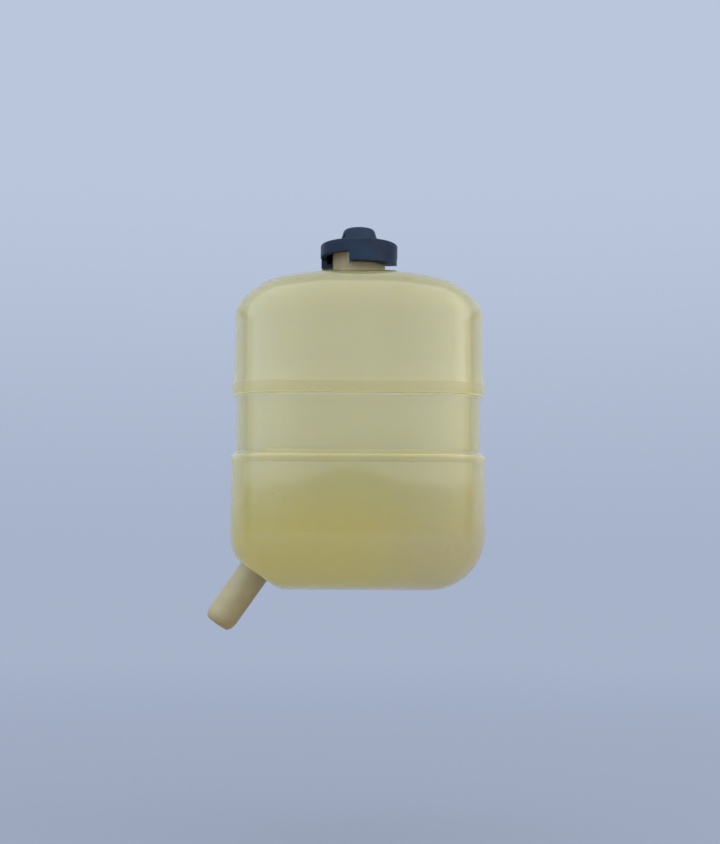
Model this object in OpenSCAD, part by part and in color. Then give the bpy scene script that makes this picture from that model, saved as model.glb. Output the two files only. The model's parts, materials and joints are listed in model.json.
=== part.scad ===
// Engine coolant expansion tank: a hollow moulded bottle with a strap seat round its waist,
// a welded filler neck and hose spigot, and a bayonet cap that holds a relief valve.
// Millimetres, +Z up. The origin is the centre of the flat underside, and -Y is the front.

/* [Tank] */
// Width of the lower half
tank_w = 150; // [136:1:180]
// Depth of the lower half
tank_d = 98; // [90:1:120]
// Height from the underside to the land that carries the neck
tank_h = 190; // [180:1:230]
// Thickness of the moulded wall
wall = 2.2; // [1.6:0.1:3]
// Radius of the upright corners
corner_r = 29; // [22:1:34]
// Radius round the underside
base_r = 33; // [24:1:34]
// Radius of the shoulder
shoulder_r = 28; // [20:1:30]
// Radius of the crown across the top
crown_r = 231; // [160:1:600]
// How far the upper half stands in from the lower half
upper_step = 1; // [0.4:0.1:2]

/* [Strap seat] */
// Height of the lower rib's underside
rib_z = 74.5; // [60:0.5:80]
// Height of the lower rib
rib_h = 5.2; // [4.4:0.1:7]
// Height of the upper rib
high_rib_h = 6.8; // [4.4:0.1:9]
// Height of the seat between the ribs
seat_h = 33.6; // [26:0.1:40]
// Depth of the seat below the lower half
seat_step = 2.6; // [1.6:0.1:3.4]
// How far the lower rib stands proud of the lower half
low_rib_proud = 0.6; // [0.2:0.1:1.6]
// How far the upper rib stands proud of the upper half
high_rib_proud = 1.1; // [0.4:0.1:2]
// Height over which the upper rib fades into the wall above it
rib_fade = 6; // [3:0.5:10]

/* [Filler neck] */
// Outside radius of the neck
neck_r = 16; // [15:0.1:17]
// Thickness of the neck's wall
neck_wall = 3; // [2.4:0.1:3.4]
// Height of the neck above its land
neck_h = 14; // [12:0.1:20]
// Reach of the weld flange beyond the neck
flange_reach = 2.3; // [1.5:0.1:3]
// Thickness of the weld flange
flange_t = 2; // [1.4:0.1:2.6]
// Step from the neck down to the pilot that enters the tank
pilot_step = 1; // [0.6:0.1:1.4]
// How far the neck's pilot reaches inside the tank
pilot_in = 2.8; // [1:0.1:6]
// Depth of the valve ledge below the rim
ledge_depth = 9; // [8.4:0.1:11]
// Thickness of the valve ledge
ledge_t = 2.5; // [1.6:0.1:3]
// Radius of the opening in the ledge
ledge_hole_r = 8; // [7.4:0.1:8.4]
// Reach of a bayonet lug beyond the neck
lug_reach = 3.4; // [2.6:0.1:4]
// Thickness of a bayonet lug
lug_t = 3.2; // [2:0.1:3.4]
// Depth of the lugs below the rim
lug_drop = 1.9; // [1.2:0.1:2.4]
// Angle that one lug spans
lug_angle = 76; // [60:1:76]
// Angle that one stop spans
stop_angle = 5; // [3:1:6]
// Rise of the lead-in ramp under a lug's open end
lead_in = 1.2; // [0.6:0.1:1.6]
// Length of that ramp
lead_run = 6; // [4:0.5:8]

/* [Hose spigot] */
// Outside radius of the spigot
spigot_r = 9.5; // [8:0.1:10.5]
// Radius of the spigot's bore
spigot_bore_r = 5.5; // [4:0.1:6]
// Length of the spigot outside the tank
spigot_len = 38.5; // [30:0.5:60]
// Lean of the spigot from straight down
spigot_angle = 35; // [25:1:45]
// Depth of the flat that the spigot stands on
spigot_flat = 4; // [3:0.1:5]
// How far the spigot sits along the flat towards the side
spigot_shift = 3.4; // [0:0.1:4]
// Length of the rounded nose
nose_len = 8; // [5:0.5:12]
// How far the nose draws in
nose_draw = 2.9; // [1.5:0.1:3.2]

/* [Cap] */
// Thickness of the skirt
skirt_wall = 3.5; // [2.2:0.1:4]
// Thickness of the cap's top
cap_top_t = 2.9; // [1.6:0.1:3]
// Height of the rim between the lobes
rim_h = 7.8; // [5:0.1:8]
// Thickness of the hooks under the lugs
hook_t = 2.4; // [1.6:0.1:2.6]
// Angle that one lobe spans
lobe_angle = 94; // [86:1:94]
// Direction of the first lobe from +X
lobe_turn = -58; // [-90:1:90]
// Height of the vent boss above the rim
boss_h = 10.1; // [8:0.1:14]
// How far the boss widens towards its foot
boss_flare = 2.1; // [1:0.1:3]
// Thickness of the boss
boss_wall = 2; // [1.4:0.1:2.6]
// Rounding of the boss's crown
boss_round = 3; // [1.5:0.1:3.6]
// Width of a vent slot
vent_w = 1.6; // [1:0.1:2.4]
// Height of a vent slot
vent_h = 4.4; // [2:0.1:5]
// Rounding of the rim
rim_round = 1.2; // [0.6:0.1:2]
// Thickness of the ring under the cap's top that centres the gasket
ring_wall = 1.4; // [1:0.1:1.8]
// Depth of that ring below the sleeve's flange
ring_drop = 1.1; // [0.6:0.1:1.4]

/* [Valve] */
// Outside radius of the valve sleeve
sleeve_r = 12.2; // [11.6:0.1:12.3]
// Thickness of the sleeve's wall
sleeve_wall = 1; // [0.8:0.1:1.2]
// Thickness of the sleeve's flange
sleeve_flange_t = 1; // [0.8:0.1:1.4]
// Reach of that flange, and of the gasket under it, beyond the neck
collar_reach = 0.4; // [0.2:0.1:0.8]
// Thickness of the lip that keeps the plate in
lip_t = 1; // [0.8:0.1:1.2]
// Reach of the lip inwards from the sleeve's wall
lip_reach = 0.9; // [0.7:0.1:1]
// Number of windows round the sleeve
window_count = 4; // [3:1:6]
// Width of a window
window_w = 6; // [3:0.5:7]
// Height of a window
window_h = 4; // [2:0.1:4.4]
// Thickness of the cap's gasket
gasket_t = 1.6; // [1.2:0.1:2]
// Thickness of the pressure seal
seal_t = 2; // [1.8:0.1:2.4]
// Radius of the hole in the pressure seal
seal_hole_r = 5; // [4.8:0.1:5.2]
// Thickness of the pressure plate
plate_t = 1.2; // [0.8:0.1:1.6]
// Radius of the hub on the pressure plate
hub_r = 3.2; // [3:0.1:3.3]
// Height of the hub
hub_h = 0.7; // [0.4:0.1:1]
// Number of air holes through the plate
air_holes = 6; // [3:1:8]
// Radius of an air hole
air_hole_r = 0.7; // [0.4:0.05:0.75]
// Radius of the vacuum valve's stem
stem_r = 1.5; // [1.2:0.1:1.6]
// Thickness of the vacuum valve's head
head_t = 1.3; // [0.8:0.1:1.6]
// Thickness of the vacuum seal
vacuum_seal_t = 0.8; // [0.6:0.1:1]
// Radius of the washer on the stem
washer_r = 4; // [3.4:0.1:4.6]
// Thickness of the washer
washer_t = 0.8; // [0.6:0.1:1]
// Depth of the groove that holds the washer
groove_depth = 0.4; // [0.3:0.05:0.5]
// Step out to the collar that carries the vacuum seal
stem_collar_step = 0.4; // [0.3:0.1:0.8]
// Height of the stem's head above the washer
stem_top_h = 0.9; // [0.6:0.1:1.4]

/* [Springs] */
// Mean radius of the pressure spring
spring_r = 6.5; // [6:0.1:6.8]
// Wire of the pressure spring
spring_wire = 1.2; // [0.8:0.1:1.6]
// Curls of the pressure spring
spring_curls = 5.5; // [4:0.5:6.5]
// Mean radius of the vacuum spring
small_spring_r = 2.6; // [2.4:0.1:2.7]
// Wire of the vacuum spring
small_wire = 0.6; // [0.4:0.1:0.6]
// Curls of the vacuum spring
small_curls = 3; // [2:0.5:3]
// Length of the vacuum spring
small_spring_len = 4; // [3.8:0.1:5]

/* [Fits] */
// Gap at a welded seat
weld_gap = 0.1; // [0.05:0.01:0.2]
// Clearance of the neck's pilot in its hole
pilot_clear = 0.15; // [0.1:0.01:0.3]
// Gap under a rubber seal at rest
seal_gap = 0.1; // [0.05:0.01:0.2]
// Clearance of a sliding valve piece
slide_clear = 0.3; // [0.2:0.01:0.4]
// Clearance of a pressed ring
press_clear = 0.2; // [0.1:0.01:0.3]
// Gap between the hooks and the lugs
hook_gap = 0.3; // [0.2:0.01:0.5]
// Clearance of the hooks round the neck
hook_clear = 0.7; // [0.5:0.1:1]
// Clearance of the skirt round the lugs
skirt_clear = 0.6; // [0.4:0.1:1]
// Clearance of the spring in the boss
spring_clear = 0.8; // [0.5:0.1:1.2]
// Clearance of the vacuum valve in the ledge
head_clear = 1.6; // [1.2:0.1:1.8]
// Free angle between a lobe and a stop
stop_play = 1.5; // [1:0.1:2]

/* [Hidden] */
$fn = 96;

// Margin by which a cutter passes the face that it cuts
cut = 1;
// Steps round an upright corner, along a long side, up a rounded edge, along an arc and up the crown
corner_steps = 8;
side_steps = 8;
edge_steps = 9;
arc_steps = 8;
crown_steps = 4;
// Smallest corner of a drawn-in ring
corner_min = 2;
// Rim of the level land round the weld flange, and its margin to the shoulder
land_rim = 0.5;
land_margin = 0.6;
// Edges of the ribs, slope on top of the lower one, and share of the upper one left above its edge
rib_edge = 0.5;
low_rib_flare = 1.6;
fade_share = 0.6;
// Ring of points round a curl of wire, and rings along one curl
wire_sides = 6;
curl_rings = 8;

// Heights of the neck and the cap, from the land upwards
neck_top = tank_h + neck_h;
lug_top = neck_top - lug_drop;
lug_bottom = lug_top - lug_t;
hook_top = lug_bottom - hook_gap;
hook_bottom = hook_top - hook_t;
gasket_z = neck_top + seal_gap;
sleeve_flange_z = gasket_z + gasket_t;
ceiling_z = sleeve_flange_z + sleeve_flange_t;
rim_top = ceiling_z + cap_top_t;
rim_bottom = rim_top - rim_h;
boss_top = rim_top + boss_h;
boss_ceiling = boss_top - boss_wall;

// Heights of the valve, from the ledge upwards
ledge_top = neck_top - ledge_depth;
ledge_bottom = ledge_top - ledge_t;
seal_z = ledge_top + seal_gap;
plate_z = seal_z + seal_t;
plate_top = plate_z + plate_t;
hub_top = plate_top + hub_h;
lip_top = plate_z - slide_clear;
lip_bottom = lip_top - lip_t;
vacuum_seal_top = seal_z - seal_gap;
head_top = vacuum_seal_top - vacuum_seal_t;
head_bottom = head_top - head_t;
washer_z = hub_top + small_spring_len;
stem_top = washer_z + washer_t + stem_top_h;

// Radii of the neck and the cap, from the neck outwards
neck_bore_r = neck_r - neck_wall;
neck_pilot_r = neck_r - pilot_step;
neck_hole_r = neck_pilot_r + pilot_clear;
flange_r = neck_r + flange_reach;
land_r = flange_r + land_rim;
lug_r = neck_r + lug_reach;
hook_r = neck_r + hook_clear;
skirt_r = lug_r + skirt_clear;
rim_r = skirt_r + skirt_wall;
collar_r = neck_r + collar_reach;
ring_r = collar_r + press_clear;
ring_out_r = ring_r + ring_wall;
ring_z = sleeve_flange_z - ring_drop;

// Radii of the boss and the valve, from the springs outwards
boss_in_r = spring_r + spring_wire / 2 + spring_clear;
boss_r = boss_in_r + boss_wall;
boss_foot_r = boss_r + boss_flare;
sleeve_in_r = sleeve_r - sleeve_wall;
lip_r = sleeve_in_r - lip_reach;
plate_r = sleeve_in_r - slide_clear;
seal_r = lip_r - slide_clear;
head_r = ledge_hole_r - head_clear;
stem_hole_r = stem_r + slide_clear;
air_hole_at = (hub_r + seal_hole_r) / 2;
groove_r = stem_r - groove_depth;
stem_collar_r = stem_r + stem_collar_step;

// Angles of the bayonet, anticlockwise seen from above
gap_angle = 180 - lobe_angle;
stop_end = lobe_turn - lobe_angle / 2 - stop_play;
stop_start = stop_end - stop_angle;
vent_turn = lobe_turn - 90;

// Heights of the strap seat and the run of the shoulder
seat_bottom = rib_z + rib_h;
seat_top = seat_bottom + seat_h;
rib_top = seat_top + high_rib_h;
shoulder_run = min(shoulder_r, tank_d / 2 - upper_step - land_r - land_margin);
shoulder_z = tank_h - shoulder_run;

// Axis and foot of the spigot, at the left lower corner
spigot_axis = [-sin(spigot_angle), 0, -cos(spigot_angle)];
spigot_side = [-cos(spigot_angle), 0, sin(spigot_angle)];
spigot_corner = [base_r - tank_w / 2, 0, base_r];
spigot_foot = spigot_corner + (base_r - spigot_flat) * spigot_axis + spigot_shift * spigot_side;

// Points of an arc in a section, from one angle to another
function arc(centre, r, from, to, steps = arc_steps) =
  [for (i = [0:steps]) let (a = from + (to - from) * i / steps) centre + r * [cos(a), sin(a)]];

// Points round a rounded rectangle that is drawn in from the tank's outline: four corners,
// and the points between them along the back and the front
function outline(inset) =
  let (
    half = [tank_w / 2 - inset, tank_d / 2 - inset],
    r = max(corner_r - inset, corner_min),
    reach = half - [r, r],
    signs = [[1, 1], [-1, 1], [-1, -1], [1, -1]]
  )
  [for (q = [0:3])
    each concat(
      [for (i = [0:corner_steps])
        let (a = 90 * (q + i / corner_steps))
        [signs[q][0] * reach[0] + r * cos(a), signs[q][1] * reach[1] + r * sin(a)]],
      q % 2 == 1 ? [] : [for (i = [1:side_steps - 1])
        [signs[q][0] * reach[0] * (1 - 2 * i / side_steps), signs[q][1] * half[1]]]
    )];

// As many points round a circle, in the same order
function round_outline(r) =
  let (count = 4 * (corner_steps + 1) + 2 * (side_steps - 1), middle = corner_steps + side_steps / 2)
  [for (k = [0:count - 1])
    let (a = 90 + 360 * (k - middle) / count)
    r * [cos(a), sin(a)]];

// Height of the crowned top above a point, level over the neck's land
function crown_z(x) = tank_h - max(0, x * x - land_r * land_r) / (2 * crown_r);

// A ring of the wall, flattened where the spigot stands
function lay(points, z, depth) =
  [for (p = points)
    let (
      at = [p[0], p[1], z],
      over = (at - spigot_foot) * spigot_axis + depth
    )
    over > 0 ? at - over * spigot_axis : at];

// Rings of the wall at a depth below the outer surface, from the underside to the crown
function base_rings(depth) =
  [for (i = [0:edge_steps])
    let (a = 90 * i / edge_steps, r = base_r - depth)
    lay(outline(base_r - r * sin(a)), base_r - r * cos(a), depth)];

function shoulder_rings(depth) =
  [for (i = [0:edge_steps])
    let (
      a = 90 * i / edge_steps,
      points = outline(upper_step + shoulder_run - (shoulder_run - depth) * cos(a))
    )
    [for (p = points) [p[0], p[1], shoulder_z + (crown_z(p[0]) - depth - shoulder_z) * sin(a)]]];

function crown_rings(depth) =
  let (from = outline(upper_step + shoulder_run), to = round_outline(land_r))
  [for (i = [1:crown_steps])
    [for (k = [0:len(from) - 1])
      let (p = from[k] + (to[k] - from[k]) * i / crown_steps)
      [p[0], p[1], crown_z(p[0]) - depth]]];

function level_ring(points, z) = [for (p = points) [p[0], p[1], z]];

// Outer wall: lower rib with a small step under it, seat, and upper rib with a sharp ledge
outer_stations = [
  [rib_z, 0],
  [rib_z + rib_edge, -low_rib_proud],
  [seat_bottom - low_rib_flare, -low_rib_proud],
  [seat_bottom - rib_edge, seat_step - rib_edge],
  [seat_bottom, seat_step],
  [seat_top, seat_step],
  [seat_top + rib_edge, upper_step - high_rib_proud + rib_edge],
  [seat_top + 2 * rib_edge, upper_step - high_rib_proud],
  [rib_top - rib_edge, upper_step - high_rib_proud],
  [rib_top, upper_step - high_rib_proud * fade_share],
  [rib_top + rib_fade, upper_step]
];
// Inner wall: it follows the seat, behind the ribs
inner_stations = [
  [rib_z, wall],
  [seat_bottom - wall, seat_step + wall],
  [seat_top + wall, seat_step + wall],
  [rib_top, upper_step + wall]
];

function wall_rings(stations) = [for (s = stations) level_ring(outline(s[1]), s[0])];

function reversed(list) = [for (i = [len(list) - 1:-1:0]) list[i]];

// One unbroken skin: up the outside, in at the filler hole and down the inside
function tank_rings() =
  concat(
    base_rings(0),
    wall_rings(outer_stations),
    shoulder_rings(0),
    crown_rings(0),
    [level_ring(round_outline(neck_hole_r - cut), tank_h)],
    reversed(concat(
      base_rings(wall),
      wall_rings(inner_stations),
      shoulder_rings(wall),
      crown_rings(wall),
      [level_ring(round_outline(neck_hole_r - cut), tank_h - wall)]
    ))
  );

// A closed skin over rings that all have as many points
module skin(rings) {
  count = len(rings[0]);
  last = (len(rings) - 1) * count;
  sides = [for (j = [0:len(rings) - 2], i = [0:count - 1])
    let (
      a = j * count + i,
      b = j * count + (i + 1) % count
    )
    each [[a, a + count, b + count], [a, b + count, b]]];
  foot = [for (i = [1:count - 2]) [0, i, i + 1]];
  head = [for (i = [1:count - 2]) [last, last + i + 1, last + i]];
  polyhedron(points = [for (ring = rings) each ring], faces = concat(foot, sides, head));
}

// Centre line of a wire spring
function spring_path(r, from, to, curls) =
  [for (k = [0:curls * curl_rings])
    let (a = 360 * k / curl_rings)
    [r * cos(a), r * sin(a), from + (to - from) * k / (curls * curl_rings)]];

// Rings of the wire, square to its centre line
function spring_rings(path, wire) =
  let (rise = (path[1][2] - path[0][2]) * curl_rings / (2 * PI))
  [for (p = path)
    let (
      outward = [p[0], p[1], 0] / norm([p[0], p[1]]),
      run = [-p[1], p[0], rise],
      across = cross(run / norm(run), outward)
    )
    [for (k = [0:wire_sides - 1])
      let (turn = 360 * k / wire_sides)
      p + wire / 2 * (sin(turn) * across + cos(turn) * outward)]];

// Least gap between the curls of a wire, measured on the points of its centre line
function least_gap(path, wire) =
  min([for (i = [0:len(path) - 1], j = [i + curl_rings / 2:1:len(path) - 1])
    norm(path[i] - path[j])]) - wire;

// Centre lines of the two springs, between the faces that they press on
pressure_path = spring_path(
  spring_r, plate_top + spring_wire / 2 + seal_gap, boss_ceiling - spring_wire / 2 - seal_gap, spring_curls
);
vacuum_path = spring_path(
  small_spring_r, hub_top + small_wire / 2 + seal_gap, washer_z - small_wire / 2 - seal_gap, small_curls
);
echo(pressure_spring_gap = least_gap(pressure_path, spring_wire));
echo(vacuum_spring_gap = least_gap(vacuum_path, small_wire));

// A ring sector from one radius to another
module sector(r_in, r_out, z, h, start, angle) {
  rotate([0, 0, start])
    rotate_extrude(angle = angle)
      translate([r_in, z])
        square([r_out - r_in, h]);
}

// A flat ring
module ring(r_out, r_in, z, h) {
  difference() {
    translate([0, 0, z])
      cylinder(r = r_out, h = h);
    translate([0, 0, z - cut])
      cylinder(r = r_in, h = h + 2 * cut);
  }
}

// Place of the spigot, with its axis as +Z
module at_spigot() {
  translate(spigot_foot)
    rotate([0, 180 + spigot_angle, 0])
      children();
}

// The moulded bottle, with a hole for the neck and a port under the spigot
module tank_shell() {
  color([0.80, 0.78, 0.62])
    difference() {
      skin(tank_rings());
      translate([0, 0, tank_h - wall - cut])
        cylinder(r = neck_hole_r, h = wall + 2 * cut);
      at_spigot()
        translate([0, 0, -wall - cut])
          cylinder(r = spigot_bore_r, h = wall + 2 * cut);
    }
}

// A bayonet lug with a ramp under its open end
module lug(start) {
  root_r = neck_r - neck_wall / 2;
  difference() {
    sector(root_r, lug_r, lug_bottom, lug_t, start, lug_angle);
    rotate([0, 0, start + lug_angle])
      translate([root_r - cut, -lead_run, lug_bottom])
        rotate([atan(lead_in / lead_run), 0, 0])
          translate([0, -lug_t, -lug_t])
            cube([lug_r - root_r + 2 * cut, lug_t + 2 * lead_run, lug_t]);
  }
}

// The stop at the other end of a lug, where the cap's hook comes to rest
module stop(start) {
  sector(neck_r - neck_wall / 2, lug_r, hook_bottom, lug_top - hook_bottom, start, stop_angle);
}

// The neck: weld flange, valve ledge, two bayonet lugs and their stops
module filler_neck() {
  edge = 0.5;
  foot_fillet = 1;
  section = concat(
    [
      [neck_bore_r, tank_h - wall - pilot_in],
      [neck_pilot_r, tank_h - wall - pilot_in],
      [neck_pilot_r, tank_h + weld_gap],
      [flange_r, tank_h + weld_gap],
      [flange_r, tank_h + flange_t - edge],
      [flange_r - edge, tank_h + flange_t]
    ],
    arc([neck_r + foot_fillet, tank_h + flange_t + foot_fillet], foot_fillet, 270, 180),
    [
      [neck_r, neck_top - edge],
      [neck_r - edge, neck_top],
      [neck_bore_r + edge, neck_top],
      [neck_bore_r, neck_top - edge],
      [neck_bore_r, ledge_top],
      [ledge_hole_r, ledge_top],
      [ledge_hole_r, ledge_bottom],
      [neck_bore_r, ledge_bottom]
    ]
  );
  color([0.66, 0.61, 0.47])
    union() {
      rotate_extrude()
        polygon(section);
      for (turn = [0, 180]) {
        lug(stop_end + turn);
        stop(stop_start + turn);
      }
    }
}

// The hose spigot, butt-welded to the flat round the port, with a round nose
module hose_spigot() {
  tip_r = spigot_r - nose_draw;
  nose_z = spigot_len - nose_len;
  nose = [for (i = [0:arc_steps])
    let (a = 90 * i / arc_steps)
    [tip_r + nose_draw * cos(a), nose_z + nose_len * sin(a)]];
  section = concat(
    [[spigot_bore_r, weld_gap], [spigot_r, weld_gap]],
    nose,
    [[spigot_bore_r, spigot_len]]
  );
  color([0.66, 0.61, 0.47])
    at_spigot()
      rotate_extrude()
        polygon(section);
}

// The cap: vented boss, skirt, and two lobes that hook under the lugs
module cap_cover() {
  lobe_edge = 0.8;
  foot_fillet = 1;
  flare = atan(boss_flare / (boss_h - boss_round));
  section = concat(
    [
      [0, boss_ceiling],
      [boss_in_r, boss_ceiling],
      [boss_foot_r - boss_wall, ceiling_z],
      [ring_r, ceiling_z],
      [ring_r, ring_z],
      [ring_out_r, ring_z],
      [ring_out_r, ceiling_z],
      [skirt_r, ceiling_z],
      [skirt_r, hook_top],
      [hook_r, hook_top],
      [hook_r, hook_bottom]
    ],
    arc([rim_r - lobe_edge, hook_bottom + lobe_edge], lobe_edge, 270, 360),
    arc([rim_r - rim_round, rim_top - rim_round], rim_round, 0, 90),
    arc([boss_foot_r + foot_fillet, rim_top + foot_fillet], foot_fillet, 270, 180 + flare),
    arc([boss_r - boss_round, boss_top - boss_round], boss_round, flare, 90),
    [[0, boss_top]]
  );
  vent_z = rim_top + boss_wall;
  color([0.17, 0.19, 0.24])
    difference() {
      rotate_extrude()
        polygon(section);
      for (turn = [0, 180]) {
        sector(
          hook_r - cut, rim_r + cut, hook_bottom - cut, rim_bottom - hook_bottom + cut,
          lobe_turn + lobe_angle / 2 + turn, gap_angle
        );
        rotate([0, 0, vent_turn + turn])
          translate([boss_in_r / 2, -vent_w / 2, vent_z])
            cube([boss_foot_r, vent_w, vent_h]);
      }
    }
}

// Rubber ring between the neck's rim and the sleeve's flange
module cap_gasket() {
  color([0.12, 0.12, 0.13])
    ring(collar_r, sleeve_r + press_clear, gasket_z, gasket_t);
}

// Sleeve that hangs from the cap, with windows and a lip that keeps the plate in
module valve_sleeve() {
  window_z = (lip_top + sleeve_flange_z - window_h) / 2;
  section = [
    [lip_r, lip_bottom],
    [sleeve_r, lip_bottom],
    [sleeve_r, sleeve_flange_z],
    [collar_r, sleeve_flange_z],
    [collar_r, ceiling_z],
    [sleeve_in_r, ceiling_z],
    [sleeve_in_r, lip_top],
    [lip_r, lip_top]
  ];
  color([0.72, 0.73, 0.74])
    difference() {
      rotate_extrude()
        polygon(section);
      for (k = [0:window_count - 1])
        rotate([0, 0, 360 * k / window_count])
          translate([sleeve_in_r - cut, -window_w / 2, window_z])
            cube([sleeve_wall + 2 * cut, window_w, window_h]);
    }
}

// Spring that holds the pressure valve on its ledge
module pressure_spring() {
  color([0.62, 0.63, 0.65])
    skin(spring_rings(pressure_path, spring_wire));
}

// Plate under the spring, with a hub for the stem and air holes round it
module pressure_plate() {
  color([0.78, 0.72, 0.52])
    difference() {
      union() {
        translate([0, 0, plate_z])
          cylinder(r = plate_r, h = plate_t);
        translate([0, 0, plate_z])
          cylinder(r = hub_r, h = hub_top - plate_z);
      }
      translate([0, 0, plate_z - cut])
        cylinder(r = stem_hole_r, h = hub_top - plate_z + 2 * cut);
      for (k = [0:air_holes - 1])
        rotate([0, 0, 360 * k / air_holes])
          translate([air_hole_at, 0, plate_z - cut])
            cylinder(r = air_hole_r, h = plate_t + 2 * cut);
    }
}

// Rubber ring under the plate, which closes on the ledge
module pressure_seal() {
  color([0.12, 0.12, 0.13])
    ring(seal_r, seal_hole_r, seal_z, seal_t);
}

// Stem and head of the vacuum valve, with a groove for its washer
module vacuum_stem() {
  section = [
    [0, head_bottom],
    [head_r, head_bottom],
    [head_r, head_top],
    [stem_collar_r, head_top],
    [stem_collar_r, vacuum_seal_top],
    [stem_r, vacuum_seal_top],
    [stem_r, washer_z],
    [groove_r, washer_z],
    [groove_r, washer_z + washer_t],
    [stem_r, washer_z + washer_t],
    [stem_r, stem_top],
    [0, stem_top]
  ];
  color([0.78, 0.72, 0.52])
    rotate_extrude()
      polygon(section);
}

// Rubber ring on the head, which closes under the pressure seal
module vacuum_seal() {
  color([0.12, 0.12, 0.13])
    ring(head_r - press_clear, stem_collar_r + weld_gap, head_top, vacuum_seal_t);
}

// Spring that pulls the vacuum valve shut
module vacuum_spring() {
  color([0.62, 0.63, 0.65])
    skin(spring_rings(vacuum_path, small_wire));
}

// Slotted washer in the stem's groove, which carries the spring
module stem_washer() {
  inner_r = groove_r + weld_gap;
  edge_z = weld_gap / 2;
  color([0.72, 0.73, 0.74])
    difference() {
      ring(washer_r, inner_r, washer_z + edge_z, washer_t - 2 * edge_z);
      translate([0, -inner_r, washer_z - cut])
        cube([washer_r + cut, 2 * inner_r, washer_t + 2 * cut]);
    }
}

tank_shell();
filler_neck();
hose_spigot();
cap_cover();
cap_gasket();
valve_sleeve();
pressure_spring();
pressure_plate();
pressure_seal();
vacuum_stem();
vacuum_seal();
vacuum_spring();
stem_washer();
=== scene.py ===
"""Dressed model of an engine coolant expansion tank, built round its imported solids.

A hollow bottle of natural polyethylene carries a welded filler neck and a welded hose spigot.
A dark bayonet cap closes the neck and holds a spring-loaded relief valve. Sizes are in
millimetres in the frame of the solids, +Z up and -Y to the front, and turn to metres as each
mesh is made.
"""

import json
import logging
import math
from collections.abc import Sequence
from dataclasses import dataclass
from enum import Enum
from functools import partial

import bmesh
import bpy
import numpy as np
from mathutils import Matrix, Vector


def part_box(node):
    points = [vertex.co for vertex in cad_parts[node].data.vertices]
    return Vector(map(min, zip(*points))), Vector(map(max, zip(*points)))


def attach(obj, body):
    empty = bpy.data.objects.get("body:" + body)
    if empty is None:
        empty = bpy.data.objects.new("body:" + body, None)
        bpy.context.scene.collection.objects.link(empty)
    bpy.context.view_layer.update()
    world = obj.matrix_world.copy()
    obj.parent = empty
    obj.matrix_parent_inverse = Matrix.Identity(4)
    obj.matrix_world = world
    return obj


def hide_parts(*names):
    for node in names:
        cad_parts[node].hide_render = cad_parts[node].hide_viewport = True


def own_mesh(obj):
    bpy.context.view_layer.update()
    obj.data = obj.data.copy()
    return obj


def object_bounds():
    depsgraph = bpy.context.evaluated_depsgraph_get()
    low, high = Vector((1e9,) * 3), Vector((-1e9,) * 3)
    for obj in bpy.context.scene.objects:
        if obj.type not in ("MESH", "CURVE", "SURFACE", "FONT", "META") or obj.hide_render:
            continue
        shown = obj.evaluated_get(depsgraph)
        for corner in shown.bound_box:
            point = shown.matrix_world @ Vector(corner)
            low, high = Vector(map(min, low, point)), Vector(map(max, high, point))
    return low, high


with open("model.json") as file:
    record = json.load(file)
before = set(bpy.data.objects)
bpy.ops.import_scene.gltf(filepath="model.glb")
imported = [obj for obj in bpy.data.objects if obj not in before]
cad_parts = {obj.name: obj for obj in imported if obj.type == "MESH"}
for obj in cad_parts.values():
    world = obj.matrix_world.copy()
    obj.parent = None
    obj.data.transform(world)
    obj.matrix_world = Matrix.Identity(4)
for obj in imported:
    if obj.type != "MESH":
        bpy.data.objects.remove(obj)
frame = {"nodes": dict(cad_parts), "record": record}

LOG = logging.getLogger("expansion_tank")
MM = 0.001
CAD_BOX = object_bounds()
# Points of a mesh that lie closer together become one
WELD = 0.002 * MM
# Most of a leg that the rounding at one end may take
LEG_SHARE = 0.48
# The wave node runs this many radians in one unit
WAVE_RADIANS = 20
# Settings that many nodes share: a soft ramp, and a mix of colours
SOFT = {"interpolation_type": "SMOOTHSTEP"}
COLOURS = {"data_type": "RGBA"}

Point = tuple[float, float]
Colour = tuple[float, float, float, float]
# Start, middle and end of a soft band in millimetres, and the share of its tint
Band = tuple[float, float, float, float]
Node = bpy.types.Node
Piece = bpy.types.Object
Socket = bpy.types.NodeSocket
Tree = bpy.types.NodeTree


class Skin(Enum):
    """The two faces of the bottle's wall, each with its steps round a rounded edge."""

    OUTER = 22
    INNER = 12


class Join(Enum):
    """What becomes of a closed mesh that is put to a piece."""

    ADD = "UNION"
    CUT = "DIFFERENCE"


class Body(Enum):
    """The bodies of the frame that new pieces ride on."""

    TANK = "tank"
    CAP = "cap"
    PRESSURE_VALVE = "pressure_valve"


def srgb(code: str) -> Colour:
    """Turns an sRGB hex colour to linear light.

    Args:
        code: Six hex digits after a hash.

    Returns:
        Linear red, green and blue, and an alpha of one.
    """
    parts = [int(code[k : k + 2], 16) / 255 for k in (1, 3, 5)]
    linear = [c / 12.92 if c <= 0.04045 else ((c + 0.055) / 1.055) ** 2.4 for c in parts]
    return (linear[0], linear[1], linear[2], 1.0)


def per_metre(size: float) -> float:
    """Gives a texture scale that repeats about once in a size in millimetres."""
    return 1 / (size * MM)


def ramp(side: str, run: Point, unit: float = 1.0) -> dict[str, float]:
    """Gives the two inputs on the From or the To side of a ramp."""
    return {f"{side} Min": run[0] * unit, f"{side} Max": run[1] * unit}


def fresh_tree(owner: bpy.types.Material | bpy.types.World) -> Tree:
    """Empties a node tree for a new graph.

    Args:
        owner: Material or world of the tree.

    Returns:
        The tree without nodes.
    """
    owner.use_nodes = True
    owner.node_tree.nodes.clear()
    return owner.node_tree


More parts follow.
